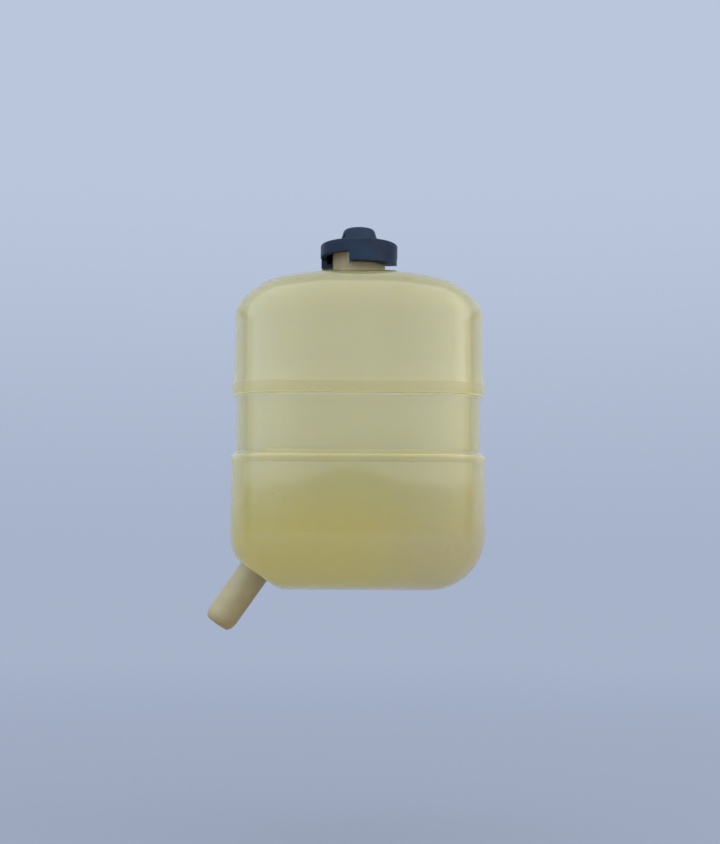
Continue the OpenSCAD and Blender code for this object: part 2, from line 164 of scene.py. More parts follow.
def add_node(tree: Tree, kind: str, inputs: dict | None = None, **settings: str) -> Node:
    """Adds a node with its settings and links.

    Args:
        tree: Node tree that takes the node.
        kind: Type of the node, without the ShaderNode before it.
        inputs: A value for each input by name or place, or a socket or node to link to it.
        settings: Properties of the node itself.

    Returns:
        The new node.
    """
    node = tree.nodes.new(f"ShaderNode{kind}")
    for key, value in settings.items():
        setattr(node, key, value)
    for key, value in (inputs or {}).items():
        if isinstance(value, Node):
            value = next(output for output in value.outputs if output.enabled)
        if isinstance(value, Socket):
            tree.links.new(value, node.inputs[key])
        else:
            node.inputs[key].default_value = value
    return node


def uneven_face(tree: Tree, place: Socket, size: float, depth: float, detail: float) -> Node:
    """Adds bumps of a size and depth in millimetres, and gives the node that bends the normal."""
    noise = add_node(tree, "TexNoise", {"Vector": place, "Scale": per_metre(size), "Detail": detail})
    return add_node(tree, "Bump", {"Height": noise, "Strength": 1.0, "Distance": depth * MM})


@dataclass(frozen=True)
class Finish:
    """A real material and how its surface was made.

    Attributes:
        name: Name of the material.
        slot: Slot of the record that the finish belongs to; not used.
    """

    name: str
    slot: str

    def shade(self, tree: Tree) -> dict:
        """Adds the pattern's nodes and gives the inputs of the surface shader."""
        raise NotImplementedError

    def material(self) -> bpy.types.Material:
        """Makes the material, or finds it if a piece has it already.

        Returns:
            The node material of this finish.
        """
        found = bpy.data.materials.get(self.name)
        if found is not None:
            return found
        made = bpy.data.materials.new(self.name)
        tree = fresh_tree(made)
        shader = add_node(tree, "BsdfPrincipled", self.shade(tree))
        add_node(tree, "OutputMaterial", {"Surface": shader})
        return made

    def dress(self, piece: Piece) -> None:
        """Gives a piece this finish.

        Args:
            piece: Object to dress.
        """
        piece.data.materials.clear()
        piece.data.materials.append(self.material())


@dataclass(frozen=True)
class BlowMouldedPolyethylene(Finish):
    """Natural polyethylene, aged to yellow, blown against a polished mould.

    The wall lets light through, so shade is soft and edges brighten. Its face is glossy with a slow
    ripple. Light and shade are also painted into the colour: the sides are paler, the lower half is
    a more saturated, lighter yellow that lifts the shaded underside, pale tints lift the shade at
    the outer edges, under the upper rib and at the lower rib's foot, and a darker amber is painted
    along the corners and over the ribs. The bands' heights are those of the bottle's ribs and seat.

    Attributes:
        painted_shade_shifts: Two heights, and what is added between them to the distance that
            painted_corner_shade_bands use.
        scatter: How far light spreads inside the wall.
    """

    name: str = "blow_moulded_polyethylene"
    slot: str = "translucent_polyethylene"
    milky: str = "#b0aa78"
    amber: str = "#a9a16a"
    mottle_size: float = 55.0
    gloss: Point = (0.08, 0.14)
    # Painted light: the colour that the sides fade to, paler than the middle of each face.
    painted_side_light: str = "#bfb88b"
    painted_side_light_run: Point = (15.0, 75.0)
    # Painted light: a more saturated, lighter yellow over the lower half that lifts the underside's
    # shade.
    painted_underside_light: str = "#b6a759"
    painted_underside_light_far: str = "#b1a36f"
    painted_underside_light_run: Point = (-10.0, 50.0)
    painted_underside_light_rise: Point = (8.0, 88.0)
    # Painted shade: a darker amber, painted along the corners and over the ribs.
    painted_shade: str = "#aca35c"
    painted_shade_shifts: tuple[tuple[float, float, float], ...] = (
        (79.0, 80.5, 1.2),
        (112.8, 114.0, -1.2),
        (156.0, 176.0, -20.0),
    )
    painted_corner_shade_bands: tuple[Band, ...] = ((59.5, 64.2, 68.5, 0.66),)
    # Painted shade: bands of the darker amber over the ribs, against their highlights.
    painted_rib_shade_bands: tuple[Band, ...] = (
        (113.6, 114.7, 116.2, 0.4),
        (114.5, 116.5, 120.8, 0.24),
        (118.8, 119.6, 120.4, 0.3),
        (77.6, 79.4, 81.2, 0.3),
    )
    # Painted light: a pale tint, painted at the outer edges and where shade falls at the ribs.
    painted_glow: str = "#ded6a8"
    painted_edge_glow_bands: tuple[Band, ...] = ((67.0, 74.0, 90.0, 0.4),)
    # Painted light: the pale tint under the upper rib and at the lower rib's foot, where shade falls.
    painted_rib_glow_bands: tuple[Band, ...] = ((107.5, 113.2, 113.6, 0.18), (72.5, 74.6, 76.6, 0.2))
    # Painted light: a bright tint on the upper rib's underside, over its shadow line.
    painted_lip_light: str = "#f1e6b0"
    painted_lip_light_bands: tuple[Band, ...] = ((111.6, 113.2, 113.9, 1.0),)
    speck: str = "#5d5230"
    speck_cell: float = 15.0
    speck_size: float = 0.4
    speck_share: float = 0.8
    ripple_size: float = 26.0
    ripple_depth: float = 0.05
    scatter: float = 9.0

    def banded(
        self, tree: Tree, colour: Node, along: Socket | Node, bands: Sequence[Band], tint: str
    ) -> Node:
        """Mixes a tint into a colour over soft bands.

        Args:
            tree: Node tree of the material.
            colour: Colour that takes the tint.
            along: Coordinate that the bands are measured along.
            bands: The bands.
            tint: Colour of the bands.

        Returns:
            The mixed colour.
        """
        add = partial(add_node, tree)
        for start, full, end, share in bands:
            up = add("MapRange", {"Value": along, **ramp("From", (start, full), MM)}, **SOFT)
            down = {"Value": along, **ramp("From", (full, end), MM), "To Min": up, "To Max": 0.0}
            band = add("MapRange", down)
            strong = add("Math", {0: band, 1: share}, operation="MULTIPLY")
            colour = add("Mix", {0: strong, 6: colour, 7: srgb(tint)}, **COLOURS)
        return colour

    def shade(self, tree: Tree) -> dict:
        """Adds mottle, bands, stain, specks and ripple.

        Args:
            tree: Node tree of the material.

        Returns:
            Inputs of the surface shader.
        """
        add = partial(add_node, tree)
        place = add("TexCoord").outputs["Object"]
        mottle = add("TexNoise", {"Vector": place, "Scale": per_metre(self.mottle_size), "Detail": 2.0})
        colour = add("Mix", {0: mottle, 6: srgb(self.milky), 7: srgb(self.amber)}, **COLOURS)
        spot = add("SeparateXYZ", {0: place}).outputs
        aside = add("Math", {0: spot["X"]}, operation="ABSOLUTE")
        # Painted light: the colour turns paler towards the sides.
        painted_side_light_share = add("MapRange", {"Value": aside, **ramp("From", self.painted_side_light_run, MM)}, **SOFT)
        colour = add("Mix", {0: painted_side_light_share, 6: colour, 7: srgb(self.painted_side_light)}, **COLOURS)
        # Painted shade: a darker amber along the corners, moved in at the ribs and the shoulder.
        upright = aside
        for start, end, shift in self.painted_shade_shifts:
            rise = {"Value": spot["Z"], **ramp("From", (start, end), MM), "To Max": shift * MM}
            moved = add("MapRange", rise)
            upright = add("Math", {0: upright, 1: moved}, operation="ADD")
        colour = self.banded(tree, colour, upright, self.painted_corner_shade_bands, self.painted_shade)
        # Painted light: a pale tint at the outer edges.
        colour = self.banded(tree, colour, aside, self.painted_edge_glow_bands, self.painted_glow)
        # Painted light: a more saturated, lighter yellow towards the bottom, lifting the underside's
        # shade.
        across = add("MapRange", {"Value": spot["X"], **ramp("From", self.painted_underside_light_run, MM)}, **SOFT)
        painted_underside_tone = add("Mix", {0: across, 6: srgb(self.painted_underside_light), 7: srgb(self.painted_underside_light_far)}, **COLOURS)
        fading = {"Value": spot["Z"], **ramp("From", self.painted_underside_light_rise, MM), **ramp("To", (1.0, 0.0))}
        low = add("MapRange", fading, **SOFT)
        colour = add("Mix", {0: low, 6: colour, 7: painted_underside_tone}, **COLOURS)
        # Painted shade: darker amber over the ribs.
        colour = self.banded(tree, colour, spot["Z"], self.painted_rib_shade_bands, self.painted_shade)
        # Painted light: pale tints where shade falls under the upper rib and at the lower rib's foot.
        colour = self.banded(tree, colour, spot["Z"], self.painted_rib_glow_bands, self.painted_glow)
        # Painted light: a bright tint on the upper rib's underside, over its shadow line.
        colour = self.banded(tree, colour, spot["Z"], self.painted_lip_light_bands, self.painted_lip_light)
        cells = add("TexVoronoi", {"Vector": place, "Scale": per_metre(self.speck_cell)})
        reach = self.speck_size / self.speck_cell
        edge = {"Value": cells, **ramp("From", (reach / 2, reach)), **ramp("To", (self.speck_share, 0.0))}
        dirt = add("MapRange", edge)
        return {
            "Base Color": add("Mix", {0: dirt, 6: colour, 7: srgb(self.speck)}, **COLOURS),
            "Roughness": add("MapRange", {"Value": mottle, **ramp("To", self.gloss)}),
            "Normal": uneven_face(tree, place, self.ripple_size, self.ripple_depth, 1.0),
            "IOR": 1.54,
            "Subsurface Weight": 1.0,
            "Subsurface Radius": (1.0, 0.8, 0.3),
            "Subsurface Scale": self.scatter * MM,
            "Coat Weight": 1.0,
            "Coat Roughness": 0.03,
            "Coat IOR": 1.7,
        }


@dataclass(frozen=True)
class InjectionMouldedPolyethylene(Finish):
    """Tan polyethylene, injection moulded, with a satin face and faint flow lines.

    Light is painted in: faces turned up are paler and faces turned down browner, as if lit from above.

    Attributes:
        painted_light_run: Upward turn of a face between the painted shaded tone and the painted lit tone.
        flow_share: How much the flow marks shift the painted light.
        grain_size: Size of the grain, drawn coarser than the real one so that it shows.
        scatter: How far light spreads inside the wall.
    """

    name: str = "injection_moulded_polyethylene"
    slot: str = "tan_polyethylene"
    # Painted light: the lit tone here and the shaded tone below it, of one tan plastic.
    light: str = "#b4ab89"
    painted_shaded_tan: str = "#8a784c"
    painted_light_run: Point = (-0.3, 0.8)
    flow_size: float = 9.0
    flow_share: float = 0.5
    gloss: Point = (0.32, 0.46)
    grain_size: float = 1.2
    grain_depth: float = 0.02
    scatter: float = 3.0

    def shade(self, tree: Tree) -> dict:
        """Adds bleaching, flow marks and a fine grain.

        Args:
            tree: Node tree of the material.

        Returns:
            Inputs of the surface shader.
        """
        add = partial(add_node, tree)
        spot = add("TexCoord").outputs
        place = spot["Object"]
        marks = {"Vector": place, "Scale": per_metre(self.flow_size), "Detail": 3.0, "Distortion": 0.6}
        flow = add("TexNoise", marks)
        # Painted light: paler where a face turns up, browner where it turns down.
        up = add("SeparateXYZ", {0: spot["Normal"]}).outputs["Z"]
        facing_and_flow = add("Math", {0: flow, 1: self.flow_share, 2: up}, operation="MULTIPLY_ADD")
        painted_light_share = add("MapRange", {"Value": facing_and_flow, **ramp("From", self.painted_light_run)})
        tones = {0: painted_light_share, 6: srgb(self.painted_shaded_tan), 7: srgb(self.light)}
        return {
            "Base Color": add("Mix", tones, **COLOURS),
            "Roughness": add("MapRange", {"Value": flow, **ramp("To", self.gloss)}),
            "Normal": uneven_face(tree, place, self.grain_size, self.grain_depth, 1.0),
            "IOR": 1.51,
            "Subsurface Weight": 0.2,
            "Subsurface Radius": (1.0, 0.8, 0.4),
            "Subsurface Scale": self.scatter * MM,
        }


@dataclass(frozen=True)
class MouldedPolypropylene(Finish):
    """Blue-black polypropylene, moulded with a fine satin grain, rubbed paler by hands.

    Attributes:
        rub_run: Share of the pattern between fresh and rubbed.
        grain_size: Size of the grain, drawn coarser than the real one so that it shows.
    """

    name: str = "moulded_polypropylene"
    slot: str = "dark_polypropylene"
    fresh: str = "#0a1f37"
    rubbed: str = "#15304a"
    rub_size: float = 14.0
    rub_run: Point = (0.35, 0.75)
    gloss: Point = (0.5, 0.36)
    grain_size: float = 0.9
    grain_depth: float = 0.03

    def shade(self, tree: Tree) -> dict:
        """Adds rubbed patches and grain.

        Args:
            tree: Node tree of the material.

        Returns:
            Inputs of the surface shader.
        """
        add = partial(add_node, tree)
        place = add("TexCoord").outputs["Object"]
        rub = add("TexNoise", {"Vector": place, "Scale": per_metre(self.rub_size), "Detail": 4.0})
        patch = add("MapRange", {"Value": rub, **ramp("From", self.rub_run)})
        tones = {0: patch, 6: srgb(self.fresh), 7: srgb(self.rubbed)}
        return {
            "Base Color": add("Mix", tones, **COLOURS),
            "Roughness": add("MapRange", {"Value": patch, **ramp("To", self.gloss)}),
            "Normal": uneven_face(tree, place, self.grain_size, self.grain_depth, 2.0),
            "IOR": 1.49,
            "Specular IOR Level": 0.27,
        }


@dataclass(frozen=True)
class NitrileRubber(Finish):
    """Black nitrile rubber, pressed, matt with a grey bloom."""

    name: str = "nitrile_rubber"
    slot: str = "black_rubber"
    black: str = "#17171a"
    bloom: str = "#2c2d2f"
    bloom_size: float = 3.0
    gloss: Point = (0.6, 0.85)

    def shade(self, tree: Tree) -> dict:
        """Adds the bloom.

        Args:
            tree: Node tree of the material.

        Returns:
            Inputs of the surface shader.
        """
        add = partial(add_node, tree)
        place = add("TexCoord").outputs["Object"]
        bloom = add("TexNoise", {"Vector": place, "Scale": per_metre(self.bloom_size), "Detail": 4.0})
        tones = {0: bloom, 6: srgb(self.black), 7: srgb(self.bloom)}
        return {
            "Base Color": add("Mix", tones, **COLOURS),
            "Roughness": add("MapRange", {"Value": bloom, **ramp("To", self.gloss)}),
            "IOR": 1.52,
        }


@dataclass(frozen=True)
class DrawnMetal(Finish):
    """A bare metal whose lines run round the cap's axis, as turning, pressing or drawing leaves them.

    Attributes:
        line_size: Run of one radian of the lines' wave. They stand six times as far apart, drawn
            coarser than the real ones so that they show.
        line_share: How much the lines bend the light.
    """

    bright: str = "#c4c6c8"
    dull: str = "#8f9295"
    line_size: float = 0.4
    gloss: Point = (0.22, 0.42)
    line_depth: float = 0.01
    line_share: float = 0.3
    patch_size: float = 4.0

    def shade(self, tree: Tree) -> dict:
        """Adds dulled patches and the lines that shaping leaves.

        Args:
            tree: Node tree of the material.

        Returns:
            Inputs of the surface shader.
        """
        add = partial(add_node, tree)
        place = add("TexCoord").outputs["Object"]
        dulled = add("TexNoise", {"Vector": place, "Scale": per_metre(self.patch_size), "Detail": 3.0})
        scale = per_metre(self.line_size) / WAVE_RADIANS
        rings = {"Vector": place, "Scale": scale, "Distortion": 0.4}
        lines = add("TexWave", rings, wave_type="RINGS", rings_direction="Z").outputs["Fac"]
        relief = {"Height": lines, "Strength": self.line_share, "Distance": self.line_depth * MM}
        tones = {0: dulled, 6: srgb(self.bright), 7: srgb(self.dull)}
        return {
            "Base Color": add("Mix", tones, **COLOURS),
            "Metallic": 1.0,
            "Roughness": add("MapRange", {"Value": dulled, **ramp("To", self.gloss)}),
            "Normal": add("Bump", relief),
        }


TANK_PLASTIC = BlowMouldedPolyethylene()
TAN_PLASTIC = InjectionMouldedPolyethylene()
CAP_PLASTIC = MouldedPolypropylene()
RUBBER = NitrileRubber()
# Tinned sheet, pressed: bright and slightly grey
TINPLATE = DrawnMetal("pressed_tinplate", "tinplate")
# Drawn spring wire: darker, with a drawn sheen
SPRING_WIRE = DrawnMetal("drawn_spring_steel", "spring_steel", "#a9abae", "#6e7175", 0.3, (0.28, 0.45))
# Turned brass: warm, with fine turning rings
BRASS = DrawnMetal("turned_brass", "brass", "#cfb26a", "#a58646", 0.4, (0.2, 0.38))


def arc(centre: Point, radius: float, start: float, end: float, steps: int = 6) -> list[Point]:
    """Gives the points of an arc between two angles in degrees, with both ends."""
    angles = np.radians(np.linspace(start, end, steps + 1))
    return [(centre[0] + radius * math.cos(a), centre[1] + radius * math.sin(a)) for a in angles]


def fillet(line: Sequence[Point], radius: float, steps: int = 4) -> list[Point]:
    """Rounds the corners of an open line.

    Args:
        line: Points of the line.
        radius: Reach of the rounding along each leg, or less where a leg is short.
        steps: Steps round one corner.

    Returns:
        Points of the rounded line, with the same ends.
    """
    points = [np.array(p, float) for p in line]
    rounded = [tuple(points[0])]
    for before, here, after in zip(points, points[1:], points[2:]):
        back, ahead = before - here, after - here
        reach = min(radius, LEG_SHARE * np.linalg.norm(back), LEG_SHARE * np.linalg.norm(ahead))
        start = here + back / np.linalg.norm(back) * reach
        end = here + ahead / np.linalg.norm(ahead) * reach
        for t in np.linspace(0, 1, steps + 1):
            rounded.append(tuple((1 - t) ** 2 * start + 2 * t * (1 - t) * here + t**2 * end))
    return [*rounded, tuple(points[-1])]


def support(line: Sequence[Point], near: float = 0.25, most: float = 5.0) -> list[Point]:
    """Adds points to the long legs of a line, so that smooth shading stays at their ends.

    Args:
        line: Points of the line.
        near: Distance of the first added point from each end of a long leg.
        most: Longest leg that is left between added points.

    Returns:
        Points of the line with the added ones.
    """
    dense = [line[0]]
    for start, end in zip(line, line[1:]):
        run = math.dist(start, end)
        stops = []
        if run > 4 * near:
            count = math.ceil((run - 2 * near) / most)
            stops = [(near + (run - 2 * near) * k / count) / run for k in range(count + 1)]
        for t in [*stops, 1.0]:
            dense.append((start[0] + (end[0] - start[0]) * t, start[1] + (end[1] - start[1]) * t))
    return dense


def level(plan: np.ndarray, z: float) -> np.ndarray:
    """Lays the points of a plan at one height."""
    return np.column_stack([plan, np.full(len(plan), z)])


class Draft:
    """Points and faces of one piece before it becomes a mesh, in millimetres."""

    def __init__(self) -> None:
        """Starts with nothing drawn."""
        self.points: list[Sequence[float]] = []
        self.faces: list[tuple[int, ...]] = []

    def loft(self, rings: Sequence[np.ndarray], looped: bool = False) -> "Draft":
        """Joins rings of as many points with quads.

        Args:
            rings: Closed rings of points, in order.
            looped: True joins the last ring to the first.

        Returns:
            This draft.
        """
        first, count = len(self.points), len(rings[0])
        for ring in rings:
            self.points.extend(ring)
        for j in range(len(rings) if looped else len(rings) - 1):
            low, high = first + j * count, first + (j + 1) % len(rings) * count
            for i in range(count):
                k = (i + 1) % count
                self.faces.append((low + i, low + k, high + k, high + i))
        return self

    def close(self, ring_start: int, count: int) -> "Draft":
        """Closes a ring that is already drawn with one face."""
        self.faces.append(tuple(range(ring_start, ring_start + count)))
        return self

    def piece(self, name: str, sharp: float = 40.0, place: Matrix | None = None) -> Piece:
        """Makes the object, with faces turned outwards and smooth shading.

        Args:
            name: Name of the piece.
            sharp: Angle in degrees above which an edge stays sharp.
            place: Transform into the frame, in metres.

        Returns:
            The new object, linked to the scene.
        """
        mesh = bpy.data.meshes.new(name)
        mesh.from_pydata([Vector(p) * MM for p in self.points], [], self.faces)
        shape = bmesh.new()
        shape.from_mesh(mesh)
        bmesh.ops.remove_doubles(shape, verts=shape.verts, dist=WELD)
        bmesh.ops.dissolve_degenerate(shape, edges=shape.edges, dist=WELD / 2)
        bmesh.ops.recalc_face_normals(shape, faces=shape.faces)
        shape.to_mesh(mesh)
        shape.free()
        if place is not None:
            mesh.transform(place)
        mesh.shade_smooth()
        mesh.set_sharp_from_angle(angle=math.radians(sharp))
        made = bpy.data.objects.new(name, mesh)
        bpy.context.scene.collection.objects.link(made)
        return made


def revolve(profile: Sequence[Point], steps: int) -> list[np.ndarray]:
    """Turns a section of radii and heights about +Z, to one ring of points for each of its own."""
    turn = np.radians(np.arange(steps) * 360 / steps)
    return [level(np.stack([r * np.cos(turn), r * np.sin(turn)], 1), z) for r, z in profile]


def combine(piece: Piece, other: Piece, join: Join) -> None:
    """Adds a closed mesh to a piece or cuts it out, and deletes it.

    Args:
        piece: Object that is changed.
        other: The closed mesh.
        join: Whether it is added or cut out.
    """
    tool = piece.modifiers.new("join", "BOOLEAN")
    tool.operation = join.value
    tool.solver = "EXACT"
    tool.object = other
    graph = bpy.context.evaluated_depsgraph_get()
    mesh = bpy.data.meshes.new_from_object(piece.evaluated_get(graph))
    piece.modifiers.clear()
    piece.data = mesh
    bpy.data.objects.remove(other)


def install(piece: Piece, finish: Finish, body: Body, *nodes: str) -> None:
    """Dresses a piece, sets it on its body and hides the solids that it stands for.

    Args:
        piece: Object in its place.
        finish: Finish that it wears.
        body: Body that carries it.
        nodes: Solids that it replaces.
    """
    finish.dress(piece)
    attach(piece, body.value)
    if nodes:
        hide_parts(*nodes)
    LOG.info("%s: %d faces, on %s", piece.name, len(piece.data.polygons), body.value)


def dress_solid(node: str, finish: Finish) -> None:
    """Gives a solid of the frame its finish."""
    finish.dress(frame["nodes"][node])
    LOG.info("%s: dressed as %s", node, finish.name)


def mount(name: str) -> dict:
    """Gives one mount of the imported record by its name."""
    return next(m for m in frame["record"]["mounts"] if m["name"] == name)


@dataclass
class WeldBead:
    """The uneven bead that a hot-plate weld squeezes out round a joint.

    Attributes:
        radius: Radius of the joint.
        size: Radius of the bead.
        wave: Share by which the bead swells and shrinks.
        z: Height of the joint.
        swells: Number of slow and of quick swells round the joint.
        phase: Start of the slow swells in radians.
        quick_share: Size of the quick swells beside the slow ones.
    """

    name: str
    radius: float
    size: float
    wave: float
    z: float = 0.0
    swells: tuple[int, int] = (5, 13)
    phase: float = 0.7
    quick_share: float = 0.6
    steps: int = 120
    sides: int = 10

    def build(self, place: Matrix | None = None) -> None:
        """Builds the bead.

        Args:
            place: Transform into the frame.
        """
        slow, quick = self.swells
        rings = []
        for a in np.linspace(0, 2 * math.pi, self.steps, endpoint=False):
            uneven = math.sin(slow * a + self.phase) + self.quick_share * math.sin(quick * a)
            swell = self.size * (1 + self.wave * uneven)
            ring = []
            for b in np.linspace(0, 2 * math.pi, self.sides, endpoint=False):
                reach = self.radius + swell * math.cos(b)
                ring.append((reach * math.cos(a), reach * math.sin(a), self.z + swell * math.sin(b)))
            rings.append(np.array(ring))
        bead = Draft().loft(rings, looped=True).piece(self.name, place=place)
        install(bead, TANK_PLASTIC, Body.TANK)


@dataclass
class SpigotSeat:
    """Where the hose spigot stands on the bottle.

    Attributes:
        foot: Point on the flat, in millimetres.
        axis: Direction that the spigot points in.
        radius: Outside radius.
        bore: Radius of the bore.
        length: Length outside the bottle.
    """

    foot: np.ndarray
    axis: np.ndarray
    radius: float
    bore: float
    length: float

    @classmethod
    def from_frame(cls, wall: float) -> "SpigotSeat":
        """Works the seat out from the bore's mount, which runs from inside the wall to the mouth.

        Args:
            wall: Thickness of the bottle's wall.

        Returns:
            The seat.
        """
        bore = mount("spigot_bore")
        axis = np.array(bore["axis"])
        span = bore["dims"]["length_mm"]
        foot = np.array(bore["pos_m"]) / MM - axis * (span / 2 - wall)
        radius = mount("hose_spigot")["dims"]["r_mm"]
        return cls(foot, axis, radius, bore["dims"]["r_mm"], span - wall)

    def place(self) -> Matrix:
        """Gives the transform that turns +Z to the spigot's axis, at its foot."""
        turn = Vector((0, 0, 1)).rotation_difference(Vector(self.axis)).to_matrix().to_4x4()
        return Matrix.Translation(Vector(self.foot) * MM) @ turn


@dataclass
class Bottle:
    """The hollow bottle: rounded box, two ribs with a strap seat between them, and a crowned top.

    Attributes:
        base: Radius round the underside.
        shoulder: Run of the shoulder.
        crown: Radius of the crown across the top.
        upper_step: How far the upper half stands in from the lower half.
        rib_slope: Run of the lower rib's slopes: below and above its foot, below and above its top.
        low_proud: How far the lower rib stands out.
        high_proud: How far the upper rib stands out.
        high_lip: Height above the seat and depth behind the rib's face, up the upper rib's edge.
        rib_fade: Run of the slope above the upper rib.
        seat_step: Depth of the seat.
        land: Radius of the level land round the neck.
        hole: Radius of the hole for the neck.
        seam_width: Half width of the mould's parting seam.
        flat_blend: How softly the flat under the spigot runs out.
        ring_gap: Distance of the upright wall from the rounded edges' ends.
        sharp: Angle in degrees above which an edge stays sharp.
        short_stops: Points along half of the plan's short side, closer together towards the seam.
    """

    wall: float = 2.2
    corner: float = 29.0
    corner_least: float = 2.0
    base: float = 33.0
    shoulder: float = 28.0
    crown: float = 231.0
    upper_step: float = 1.0
    rib_foot: float = 74.5
    rib_height: float = 5.2
    rib_slope: tuple[float, float, float, float] = (1.0, 1.4, 2.2, 0.9)
    low_proud: float = 0.6
    high_rib_height: float = 6.8
    high_proud: float = 1.1
    high_lip: tuple[Point, Point] = ((0.15, 0.5), (0.5, 0.12))
    rib_fade: float = 13.0
    rib_round: float = 0.25
    seat_height: float = 33.6
    seat_step: float = 2.6
    land: float = 18.8
    hole: float = 15.2
    seam_width: float = 0.9
    seam_height: float = 0.28
    flat_blend: float = 1.6
    ring_gap: float = 1.0
    corner_points: int = 15
    long_steps: int = 25
    short_stops: tuple[float, ...] = (0.72, 0.48, 0.28, 0.14, 0.07, 0.045, 0.02)
    middle_rings: int = 6
    port_sides: int = 48
    sharp: float = 60.0

    def __post_init__(self) -> None:
        """Takes the overall sizes from the solids."""
        low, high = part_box("tank_shell")
        self.width = (high.x - low.x) / MM - 2 * self.low_proud
        self.depth = (high.y - low.y) / MM - 2 * self.low_proud
        self.height = (high.z - low.z) / MM
        self.seat = SpigotSeat.from_frame(self.wall)

    def plan(self, inset: float) -> np.ndarray:
        """Points round the bottle's plan, anticlockwise from the start of the first corner.

        Args:
            inset: How far the plan is drawn in.

        Returns:
            Points in the plane, as many for every inset.
        """
        half = np.array([self.width / 2 - inset, self.depth / 2 - inset])
        radius = max(self.corner - inset, self.corner_least)
        reach = half - radius
        turn = np.radians(np.linspace(0, 90, self.corner_points))
        bend = radius * np.stack([np.cos(turn), np.sin(turn)], 1)
        long_side = np.linspace(1, -1, self.long_steps + 1)[1:-1]
        short_half = np.array(self.short_stops)
        short_side = np.concatenate([short_half, [0.0], -short_half[::-1]])
        back = np.stack([long_side * reach[0], np.full(len(long_side), half[1])], 1)
        left = np.stack([np.full(len(short_side), -half[0]), short_side * reach[1]], 1)
        quarter = np.array([[0, -1], [1, 0]])
        first = bend + reach
        second = bend @ quarter.T + reach * (-1, 1)
        half_way = np.concatenate([first, back, second, left])
        return np.concatenate([half_way, -half_way])

    def circle(self, radius: float) -> np.ndarray:
        """As many points as a plan has, round a circle and in the same order.

        Args:
            radius: Radius of the circle.

        Returns:
            Points in the plane.
        """
        count = len(self.plan(0))
        turn = 2 * math.pi * (np.arange(count) + self.corner_points / 2) / count
        return radius * np.stack([np.cos(turn), np.sin(turn)], 1)

    def crown_height(self, x: np.ndarray) -> np.ndarray:
        """Gives the height of the crowned top, level over the neck's land."""
        return self.height - np.maximum(0, x**2 - self.land**2) / (2 * self.crown)

    def flatten(self, ring: np.ndarray, depth: float) -> np.ndarray:
        """Flattens a ring softly where the spigot stands.

        Args:
            ring: Points of the ring.
            depth: Depth below the outer face.

        Returns:
            The ring with its points on or behind the flat.
        """
        over = (ring - self.seat.foot) @ self.seat.axis + depth
        soft = np.clip(over + self.flat_blend, 0, None) ** 2 / (4 * self.flat_blend)
        push = np.where(over > self.flat_blend, over, soft)
        return ring - push[:, None] * self.seat.axis

    def base_rings(self, depth: float, steps: int) -> list[np.ndarray]:
        """Rings from the middle of the underside up its rounded edge.

        Args:
            depth: Depth below the outer face.
            steps: Steps up the edge.

        Returns:
            The rings, the first of them shrunk to a point.
        """
        radius = self.base - depth
        plan = self.plan(self.base)
        rings = [level(plan * s, depth) for s in np.linspace(0, 1, self.middle_rings + 1)[:-1]]
        for a in np.radians(np.linspace(0, 90, steps + 1)):
            plan = self.plan(self.base - radius * math.sin(a))
            rings.append(self.flatten(level(plan, self.base - radius * math.cos(a)), depth))
        return rings

    def top_rings(self, depth: float, steps: int) -> list[np.ndarray]:
        """Rings up the shoulder and over the crown to the neck's hole.

        Args:
            depth: Depth below the outer face.
            steps: Steps up the shoulder.

        Returns:
            The rings, the last of them at the hole.
        """
        run, foot = self.shoulder, self.height - self.shoulder
        rings = []
        for a in np.radians(np.linspace(0, 90, steps + 1)):
            plan = self.plan(self.upper_step + run - (run - depth) * math.cos(a))
            rise = self.crown_height(plan[:, 0]) - depth - foot
            rings.append(np.column_stack([plan, foot + rise * math.sin(a)]))
        start, end = self.plan(self.upper_step + run), self.circle(self.land)
        for t in np.linspace(0, 1, steps // 2 + 1)[1:]:
            plan = start + (end - start) * t
            rings.append(np.column_stack([plan, self.crown_height(plan[:, 0]) - depth]))
        return [*rings, level(self.circle(self.hole), self.height - depth)]

    def wall_line(self, skin: Skin) -> list[Point]:
        """Height and inset of the wall from the lower half to the upper half.

        Args:
            skin: Face of the wall.

        Returns:
            Points of the upright section.
        """
        seat_low = self.rib_foot + self.rib_height
        seat_high = seat_low + self.seat_height
        rib_top = seat_high + self.high_rib_height
        foot = self.base + self.ring_gap
        if skin is Skin.INNER:
            inside = self.seat_step + self.wall
            return [
                (foot, self.wall),
                (self.rib_foot, self.wall),
                (seat_low, inside),
                (seat_high, inside),
                (rib_top, self.upper_step + self.wall),
            ]
        below_foot, above_foot, below_top, above_top = self.rib_slope
        proud = self.upper_step - self.high_proud
        fade = [
            (rib_top + t * self.rib_fade, proud + self.high_proud * (1 - (1 - t) ** 2))
            for t in np.linspace(0.1, 1, 10)
        ]
        line = [
            (foot, 0.0),
            (self.rib_foot - below_foot, 0.0),
            (self.rib_foot + above_foot, -self.low_proud),
            (seat_low - below_top, -self.low_proud),
            (seat_low + above_top, self.seat_step),
            (seat_high, self.seat_step),
            *[(seat_high + up, proud + back) for up, back in self.high_lip],
            (rib_top, proud),
            *fade,
            (self.height - self.shoulder - self.ring_gap, self.upper_step),
        ]
        return support(fillet(line, self.rib_round))

    def skin_rings(self, skin: Skin) -> list[np.ndarray]:
        """Rings of one face of the wall, from the middle of the underside to the neck's hole.

        Args:
            skin: Face of the wall.

        Returns:
            The rings in order.
        """
        depth = 0 if skin is Skin.OUTER else self.wall
        upright = [level(self.plan(inset), z) for z, inset in self.wall_line(skin)]
        return [*self.base_rings(depth, skin.value), *upright, *self.top_rings(depth, skin.value)]

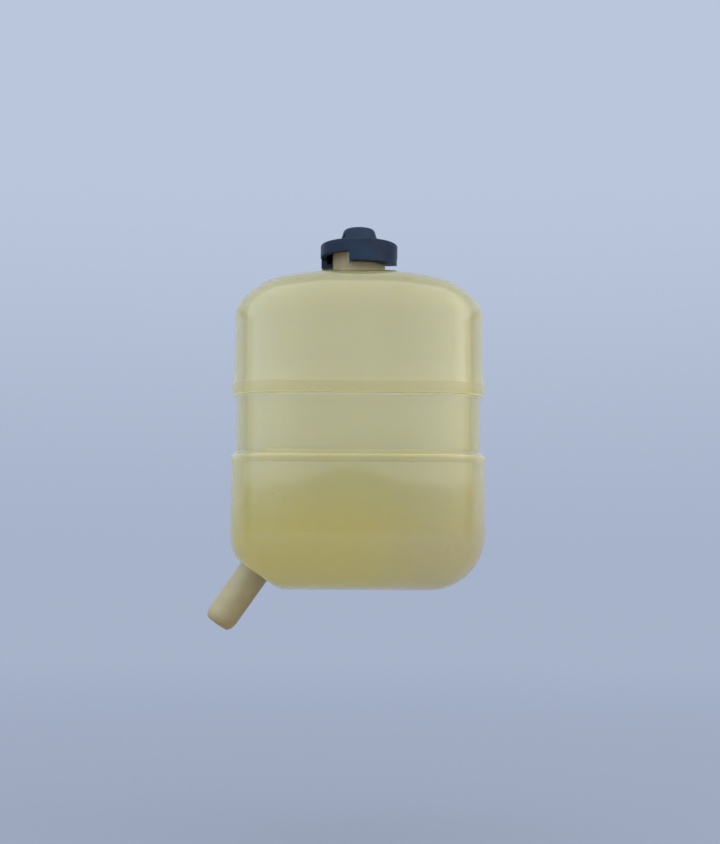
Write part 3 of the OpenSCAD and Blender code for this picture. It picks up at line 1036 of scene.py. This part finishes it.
    def raise_seam(self, piece: Piece) -> None:
        """Raises the parting seam where the two halves of the mould met, on the outer face.

        Args:
            piece: The bottle.
        """
        vertices = piece.data.vertices
        middle = Vector((0, 0, self.height * MM / 2))
        moved = []
        for vertex in vertices:
            share = 1 - (vertex.co.y / (self.seam_width * MM)) ** 2
            if share > 0 and vertex.normal.dot(vertex.co - middle) > 0:
                moved.append((vertex.index, vertex.co + vertex.normal * share * self.seam_height * MM))
        for index, place in moved:
            vertices[index].co = place

    def build(self) -> None:
        """Builds the bottle with its parting seam and the port under the spigot."""
        rings = [*self.skin_rings(Skin.OUTER), *self.skin_rings(Skin.INNER)[::-1]]
        bottle = Draft().loft(rings).piece("tank_bottle", sharp=self.sharp)
        self.raise_seam(bottle)
        port = revolve([(self.seat.bore, -2 * self.wall), (self.seat.bore, self.wall)], self.port_sides)
        drill = Draft().loft(port).close(0, self.port_sides).close(self.port_sides, self.port_sides)
        combine(bottle, drill.piece("port_drill", place=self.seat.place()), Join.CUT)
        install(bottle, TANK_PLASTIC, Body.TANK, "tank_shell")


@dataclass
class HoseSpigot:
    """The hose spigot: a plain stub with a round nose, and the bead that its weld squeezed out.

    Attributes:
        seat: Where it stands.
        nose_angle: How far round the nose is turned, in degrees.
        draw: How far the nose draws in.
        foot_gap: Distance of its foot from the flat.
        bead: Radius of the weld bead.
        rings: Rings along the straight run, and as many along the nose.
    """

    seat: SpigotSeat
    nose: float = 7.5
    nose_angle: float = 84.0
    draw: float = 3.4
    mouth_round: float = 0.5
    foot_gap: float = 0.1
    bead: float = 0.75
    bead_wave: float = 0.16
    rings: int = 12
    sides: int = 72

    def build(self) -> None:
        """Builds the stub and its weld bead."""
        r, bore, length = self.seat.radius, self.seat.bore, self.seat.length
        shaft, core = length - self.nose, r - self.draw
        turn = np.radians(np.linspace(0, self.nose_angle, self.rings))
        profile = [
            (bore, self.foot_gap),
            *[(r, z) for z in np.linspace(self.foot_gap, shaft, self.rings)[:-1]],
            *[(core + self.draw * math.cos(a), shaft + self.nose * math.sin(a)) for a in turn],
            *arc((bore + self.mouth_round, length - self.mouth_round), self.mouth_round, 90, 180, 4),
        ]
        stub = Draft().loft(revolve(profile, self.sides), looped=True)
        install(stub.piece("hose_stub", place=self.seat.place()), TAN_PLASTIC, Body.TANK, "hose_spigot")
        WeldBead("spigot_weld_bead", r, self.bead, self.bead_wave).build(self.seat.place())


@dataclass
class FillerNeck:
    """The welded neck, with the bead round its flange.

    Attributes:
        flange: Radius of the flange.
        bead_rise: Height of the bead's middle above the bottle's top.
    """

    flange: float = 18.3
    bead: float = 0.6
    bead_wave: float = 0.15
    bead_rise: float = 0.1

    def dress(self) -> None:
        """Gives the neck its finish."""
        dress_solid("filler_neck", TAN_PLASTIC)

    def build(self) -> None:
        """Builds the weld bead round the flange's foot."""
        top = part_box("tank_shell")[1].z / MM
        WeldBead("neck_weld_bead", self.flange, self.bead, self.bead_wave, top + self.bead_rise).build()


@dataclass
class BayonetCap:
    """The cap: a rim with two hooked lobes and a vented boss in the middle.

    Attributes:
        top: Thickness of the cap's top.
        rim: Height of the rim between the lobes.
        hook_radius: Inner radius of the hooks.
        lobe_angle: Angle that one lobe spans.
        lobe_turn: Direction of the first lobe from +X.
        boss_radius: Radius of the boss below its crown.
        boss_flare: How far the boss widens towards its foot.
        edge: Rounding of the lobes' edges.
        edge_angle: Angle in degrees above which an edge is rounded.
        sharp: Angle in degrees above which an edge stays sharp.
    """

    skirt_wall: float = 3.5
    top: float = 2.9
    rim: float = 7.8
    rim_round: float = 1.2
    hook: float = 2.4
    hook_radius: float = 16.7
    lobe_angle: float = 94.0
    lobe_turn: float = -58.0
    lobe_step: float = 2.0
    boss_height: float = 10.1
    boss_radius: float = 9.9
    boss_flare: float = 2.1
    boss_wall: float = 2.0
    boss_round: float = 3.0
    foot_round: float = 1.0
    vent_width: float = 1.6
    vent_height: float = 4.4
    edge: float = 0.5
    edge_steps: int = 3
    edge_angle: float = 50.0
    segments: int = 180
    sharp: float = 30.0

    def __post_init__(self) -> None:
        """Takes the overall sizes from the solids."""
        low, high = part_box("cap_cover")
        self.radius = (high.x - low.x) / MM / 2
        self.inner = self.radius - self.skirt_wall
        self.boss_top = high.z / MM
        self.hook_bottom = low.z / MM
        self.rim_top = self.boss_top - self.boss_height
        self.rim_bottom = self.rim_top - self.rim

    def upper_line(self) -> list[Point]:
        """Section of the cap above the lobes, from the rim's foot over the boss and back inside.

        Returns:
            Points of the closed section.
        """
        flare = math.degrees(math.atan(self.boss_flare / (self.boss_height - self.boss_round)))
        foot = self.boss_radius + self.boss_flare
        ceiling = self.rim_top - self.top
        hollow = self.boss_top - self.boss_wall
        rim = (self.radius - self.rim_round, self.rim_top - self.rim_round)
        valley = (foot + self.foot_round, self.rim_top + self.foot_round)
        crown = (self.boss_radius - self.boss_round, self.boss_top - self.boss_round)
        return [
            (self.radius, self.rim_bottom),
            *arc(rim, self.rim_round, 0, 90),
            *arc(valley, self.foot_round, 270, 180 + flare),
            *arc(crown, self.boss_round, flare, 90, 10),
            (0.0, self.boss_top),
            (0.0, hollow),
            (self.boss_radius - self.boss_wall, hollow),
            (foot - self.boss_wall, ceiling),
            (self.inner, ceiling),
            (self.inner, self.rim_bottom),
        ]

    def lobe(self, start: float) -> Draft:
        """Draws one lobe below the rim, with the hook at its foot, as a ring sector with closed ends.

        Args:
            start: Angle of its first end from +X in degrees.

        Returns:
            The lobe's draft.
        """
        hook_top = self.hook_bottom + self.hook
        line = [
            (self.radius, self.rim_bottom),
            (self.radius, self.hook_bottom),
            (self.hook_radius, self.hook_bottom),
            (self.hook_radius, hook_top),
            (self.inner, hook_top),
            (self.inner, self.rim_bottom),
        ]
        steps = round(self.lobe_angle / self.lobe_step)
        ends = np.radians(np.linspace(start, start + self.lobe_angle, steps + 1))
        rings = [np.array([(r * math.cos(a), r * math.sin(a), z) for r, z in line]) for a in ends]
        return Draft().loft(rings).close(0, len(line)).close(steps * len(line), len(line))

    def vent(self, turn: float) -> Piece:
        """Makes the cutter of one vent slot.

        Args:
            turn: Turn of the slot about the cap, in degrees.

        Returns:
            The cutter.
        """
        low = self.rim_top + self.boss_wall
        inside, outside = self.boss_radius / 2, self.boss_radius + 2 * self.boss_flare
        half = self.vent_width / 2
        slot = np.array([(inside, -half), (outside, -half), (outside, half), (inside, half)])
        rings = [level(slot, z) for z in (low, low + self.vent_height)]
        place = Matrix.Rotation(math.radians(self.lobe_turn - 90 + turn), 4, "Z")
        return Draft().loft(rings).close(0, 4).close(4, 4).piece("vent_cutter", place=place)

    def build(self) -> None:
        """Builds the cap with its lobes, soft edges and vent slots."""
        section = revolve(self.upper_line(), self.segments)
        cover = Draft().loft(section, looped=True).piece("cap_shell", sharp=self.sharp)
        for turn in (0, 180):
            lobe = self.lobe(self.lobe_turn - self.lobe_angle / 2 + turn)
            combine(cover, lobe.piece(f"lobe_{turn}", sharp=self.sharp), Join.ADD)
        for turn in (0, 180):
            combine(cover, self.vent(turn), Join.CUT)
        soft = cover.modifiers.new("soft_edges", "BEVEL")
        soft.width = self.edge * MM
        soft.segments = self.edge_steps
        soft.limit_method = "ANGLE"
        soft.angle_limit = math.radians(self.edge_angle)
        soft.harden_normals = True
        install(cover, CAP_PLASTIC, Body.CAP, "cap_cover")


@dataclass
class WireSpring:
    """A compression spring of round wire with closed ends, in the place of its solid.

    Attributes:
        node: Solid that it stands for.
        joint: Joint that presses it; not used.
        body: Body that carries its fixed end.
        wire: Diameter of the wire.
        fixed_top: True where the fixed end is the upper one; not used.
        closed: Curls at each end that lie one on the next.
    """

    node: str
    joint: str
    body: Body
    wire: float
    curls: float
    fixed_top: bool
    closed: float = 0.8
    curl_steps: int = 32
    sides: int = 12

    def build(self) -> None:
        """Builds the spring."""
        low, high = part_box(self.node)
        radius = (high.x - low.x) / MM / 2 - self.wire / 2
        start, end = low.z / MM + self.wire / 2, high.z / MM - self.wire / 2
        steps, sides = round(self.curls * self.curl_steps), self.sides
        flat = self.closed * self.wire
        stops = (0, self.closed, self.curls - self.closed, self.curls)
        heights = (start, start + flat, end - flat, end)
        turn = np.linspace(0, 2 * math.pi, sides, endpoint=False)[:, None]
        rings = []
        for curl in np.linspace(0, self.curls, steps + 1):
            a = 2 * math.pi * curl
            out, up = np.array([math.cos(a), math.sin(a), 0]), np.array([0, 0, 1])
            centre = radius * out + up * np.interp(curl, stops, heights)
            rings.append(centre + self.wire / 2 * (np.cos(turn) * out + np.sin(turn) * up))
        draft = Draft().loft(rings).close(0, sides).close(steps * sides, sides)
        spring = draft.piece(f"{self.node}_wire")
        install(spring, SPRING_WIRE, self.body, self.node)
        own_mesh(spring)


@dataclass
class ReliefValve:
    """The pieces under the cap: gasket, sleeve, plates, seals and springs.

    Attributes:
        wire: Diameter of the large spring's wire.
        curls: Curls of the large spring.
    """

    wire: float = 1.2
    curls: float = 5.5
    small_wire: float = 0.6
    small_curls: float = 3.0

    def dress(self) -> None:
        """Gives the solids of the valve their finishes."""
        finishes = {
            RUBBER: ("cap_gasket", "pressure_seal", "vacuum_seal"),
            TINPLATE: ("valve_sleeve", "stem_washer"),
            BRASS: ("pressure_plate", "vacuum_stem"),
        }
        for finish, nodes in finishes.items():
            for node in nodes:
                dress_solid(node, finish)

    def build(self) -> None:
        """Builds the two springs."""
        large, small = (self.wire, self.curls), (self.small_wire, self.small_curls)
        WireSpring("pressure_spring", "pressure_lift", Body.CAP, *large, fixed_top=True).build()
        WireSpring("vacuum_spring", "vacuum_drop", Body.PRESSURE_VALVE, *small, fixed_top=False).build()


@dataclass
class Softbox:
    """A tall softbox beside the camera, with its sizes in metres.

    Attributes:
        turn: Direction from the part, in degrees from the front towards +X.
        radiance: Brightness of its face.
        aim: Height of the point that it faces.
    """

    name: str
    turn: float
    radiance: float
    colour: str
    far: float = 1.2
    wide: float = 0.6
    tall: float = 0.8
    height: float = 0.64
    aim: float = 0.11

    def build(self) -> None:
        """Hangs the softbox in its place."""
        lamp = bpy.data.lights.new(self.name, "AREA")
        lamp.shape = "RECTANGLE"
        lamp.size = self.wide
        lamp.size_y = self.tall
        lamp.energy = self.radiance * math.pi * self.wide * self.tall
        lamp.color = srgb(self.colour)[:3]
        softbox = bpy.data.objects.new(self.name, lamp)
        a = math.radians(self.turn)
        softbox.location = Vector((self.far * math.sin(a), -self.far * math.cos(a), self.height))
        view = Vector((0, 0, self.aim)) - softbox.location
        softbox.rotation_euler = view.to_track_quat("-Z", "Y").to_euler()
        softbox.visible_camera = False
        bpy.context.scene.collection.objects.link(softbox)


@dataclass
class Studio:
    """A plain pale floor, a soft sky in front and above, two softboxes and the camera.

    The sky's runs are parts of a direction of length one: up for sky, edge and high, across for
    side and arch, and back for front.

    Attributes:
        focal_pixels: Focal length of the camera in pixels of the photograph.
        distance: Distance of the camera from the bottle's middle plane.
        eye: Height of the camera above the underside.
        pitch: How far the camera looks up, in degrees.
        yaw: How far the camera looks to the right, in degrees.
        roll: Turn of the camera about its view, in degrees.
        aside: How far the camera stands to the right.
        floor_drop: How far the floor lies below the lowest point.
        floor_near: Colour that the floor shows under the part, darker than far away: painted shade.
        floor_far: Colour that the floor shows far away.
        floor_white: Colour in which the floor lights the part.
        front_run: Run from the back to the front over which the light changes.
        edge_run: Rise over which the front light comes in above the floor.
        edge_light: Strength of the front light below and above that edge.
        arch_drop: How far that edge drops to the left and right of the middle.
        corner_drop: How far it drops between the front and the sides.
        high_run: Rise over which the front light grows higher up.
    """

    focal_pixels: float = 1500.0
    image_height: float = 844.0
    sensor: float = 36.0
    near_clip: float = 10.0
    distance: float = 903.5
    eye: float = 6.5
    pitch: float = 5.97
    yaw: float = 0.37
    roll: float = 0.31
    aside: float = -4.7
    floor_drop: float = 130.0
    floor_reach: float = 12000.0
    floor_near: str = "#a1aabe"
    floor_far: str = "#a8b3c6"
    floor_fade: float = 2500.0
    floor_white: str = "#eceff2"
    sky_low: str = "#a6b3ca"
    sky_top: str = "#bac6dc"
    sky_run: Point = (0.0, 0.28)
    light_behind: str = "#dadada"
    light_left: str = "#e8f2ff"
    light_right: str = "#fbf9fa"
    side_run: Point = (-0.5, 0.5)
    front_run: Point = (0.06, -0.06)
    edge_run: Point = (0.0715, 0.078)
    edge_light: Point = (0.33, 1.12)
    arch_run: Point = (0.0, 0.045)
    arch_drop: Point = (0.0, 0.0125)
    corner_drop: float = 0.006
    high_run: Point = (0.08, 0.14)
    high_light: Point = (0.0, 0.3)

    def build_camera(self) -> None:
        """Sets the camera at the photograph's viewing angle."""
        lens = bpy.data.cameras.new("camera")
        lens.lens = self.focal_pixels / self.image_height * self.sensor
        lens.sensor_width = self.sensor
        lens.clip_start = self.near_clip * MM
        camera = bpy.data.objects.new("camera", lens)
        look = Matrix.Rotation(math.radians(90 + self.pitch), 4, "X")
        roll = Matrix.Rotation(math.radians(self.roll), 4, "Z")
        place = Matrix.Translation(Vector((self.aside, -self.distance, self.eye)) * MM)
        yaw = Matrix.Rotation(math.radians(-self.yaw), 4, "Z")
        camera.matrix_world = place @ yaw @ look @ roll
        bpy.context.scene.collection.objects.link(camera)
        bpy.context.scene.camera = camera

    def build_floor(self) -> None:
        """Lays the floor below the part."""
        reach = self.floor_reach
        square = np.array([(-reach, -reach), (reach, -reach), (reach, reach), (-reach, reach)])
        draft = Draft()
        draft.points.extend(level(square, CAD_BOX[0].z / MM - self.floor_drop))
        floor = draft.close(0, 4).piece("floor")
        paper = bpy.data.materials.new("matt_paper")
        tree = fresh_tree(paper)
        add = partial(add_node, tree)
        path = add("LightPath").outputs
        rays = {0: path["Is Camera Ray"], 1: path["Is Glossy Ray"]}
        seen = add("Math", rays, operation="MAXIMUM")
        white = add("BsdfDiffuse", {"Color": srgb(self.floor_white)})
        place = add("TexCoord").outputs["Object"]
        away = add("VectorMath", {0: place}, operation="LENGTH").outputs["Value"]
        # Painted shade: the camera sees the floor darker near the part, fading out far away.
        far = {"Value": away, **ramp("From", (0.0, self.floor_fade), MM)}
        fade = add("MapRange", far, interpolation_type="SMOOTHERSTEP")
        tint = add("Mix", {0: fade, 6: srgb(self.floor_near), 7: srgb(self.floor_far)}, **COLOURS)
        tinted = add("BsdfDiffuse", {"Color": tint})
        shader = add("MixShader", {0: seen, 1: white, 2: tinted})
        add("OutputMaterial", {"Surface": shader})
        floor.data.materials.append(paper)

    def build_sky(self) -> None:
        """Lights the part softly from the front and above, with a plain pale background."""
        world = bpy.data.worlds.new("soft_sky")
        bpy.context.scene.world = world
        tree = fresh_tree(world)
        add = partial(add_node, tree)
        way = add("TexCoord").outputs["Generated"]
        parts = add("SeparateXYZ", {0: way}).outputs
        rise = add("MapRange", {"Value": parts["Z"], **ramp("From", self.sky_run)}, **SOFT)
        tint = add("Mix", {0: rise, 6: srgb(self.sky_low), 7: srgb(self.sky_top)}, **COLOURS)
        backdrop = add("Background", {"Color": tint, "Strength": 1.0})
        path = add("LightPath").outputs
        dim = add("Background", {"Color": srgb(self.light_behind), "Strength": 1.0})
        behind = add("MixShader", {0: path["Is Glossy Ray"], 1: dim, 2: backdrop})
        across = add("MapRange", {"Value": parts["X"], **ramp("From", self.side_run)})
        tones = {0: across, 6: srgb(self.light_left), 7: srgb(self.light_right)}
        sides = add("Mix", tones, **COLOURS)
        askew = add("Math", {0: parts["X"], 1: parts["Y"]}, operation="MULTIPLY")
        square = add("Math", {0: askew, 1: askew}, operation="MULTIPLY")
        off = add("Math", {0: parts["X"]}, operation="ABSOLUTE")
        bow = {"Value": off, **ramp("From", self.arch_run), **ramp("To", self.arch_drop)}
        arch = add("MapRange", bow, **SOFT)
        corner = add("Math", {0: square, 1: self.corner_drop, 2: arch}, operation="MULTIPLY_ADD")
        lifted = add("Math", {0: corner, 1: parts["Z"]}, operation="ADD")
        edge = {"Value": lifted, **ramp("From", self.edge_run), **ramp("To", self.edge_light)}
        near = add("MapRange", edge, **SOFT)
        growth = {"Value": parts["Z"], **ramp("From", self.high_run), **ramp("To", self.high_light)}
        high = add("MapRange", growth)
        above = add("Math", {0: near, 1: high}, operation="ADD")
        light = add("Background", {"Color": sides, "Strength": above})
        front = add("MapRange", {"Value": parts["Y"], **ramp("From", self.front_run)}, **SOFT)
        around = add("MixShader", {0: front, 1: behind, 2: light})
        mixed = add("MixShader", {0: path["Is Camera Ray"], 1: around, 2: backdrop})
        add("OutputWorld", {"Surface": mixed})

    def build(self) -> None:
        """Sets the whole stage up."""
        bpy.context.scene.view_settings.view_transform = "Standard"
        self.build_camera()
        self.build_floor()
        self.build_sky()
        Softbox("softbox_right", turn=60, radiance=0.42, colour="#fff8ea").build()
        Softbox("softbox_left", turn=-60, radiance=0.12, colour="#dcecff").build()


def main() -> None:
    """Builds the stage and every piece, and reports them."""
    logging.basicConfig(level=logging.INFO, format="%(name)s: %(message)s")
    Studio().build()
    bottle = Bottle()
    bottle.build()
    HoseSpigot(bottle.seat).build()
    neck = FillerNeck()
    neck.dress()
    neck.build()
    BayonetCap().build()
    valve = ReliefValve()
    valve.dress()
    valve.build()


if __name__ == "__main__":
    main()
